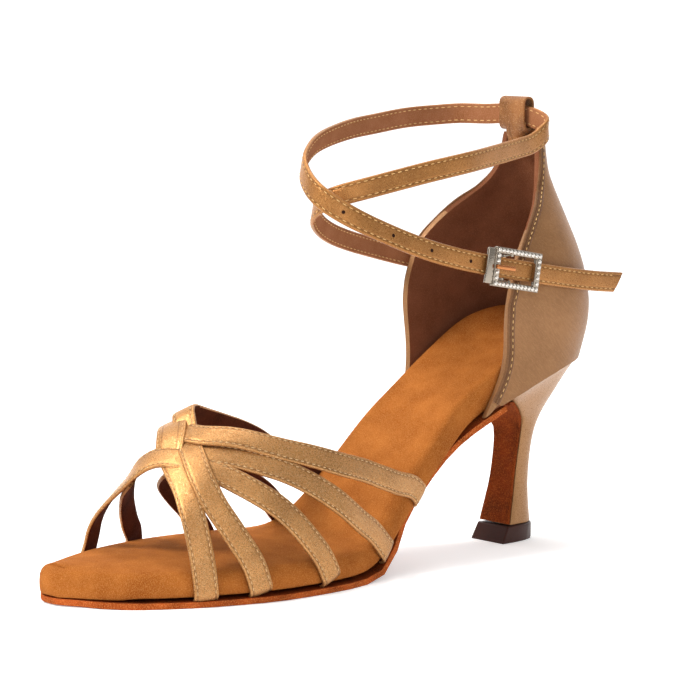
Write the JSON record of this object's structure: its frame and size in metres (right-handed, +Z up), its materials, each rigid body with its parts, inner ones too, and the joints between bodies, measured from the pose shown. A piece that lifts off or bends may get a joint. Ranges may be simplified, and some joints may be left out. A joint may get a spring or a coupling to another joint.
{
  "type": "ballroom dance sandal",
  "caption": "Left ballroom dance sandal with woven toe straps, a closed hollow counter, a crossed ankle strap with a jewelled buckle and a high flared heel.",
  "frame": {"origin": "centre of the heel tip's floor face, on the floor plane", "axes": "+X to the outer (lateral, buckle) side, +Y from the toe to the heel, +Z up"},
  "size_m": [0.0791, 0.2292, 0.1578],
  "materials": {
    "sock": "tan suede",
    "sole": "raw suede",
    "satin": "tan satin",
    "strap": "satin with a metallic glitter",
    "tip": "matt",
    "buckle": "polished, set with clear stones"
  },
  "bodies": {
    "root": {"insole": "sock", "outsole": "sole", "counter": "satin", "heel": "satin", "heel_tip": "tip", "heel_breast_cover": "sole", "vamp_straps": "strap", "ankle_strap": "strap", "back_loop": "strap", "buckle_frame": "buckle", "buckle_tab": "strap"}
  },
  "joints": []
}
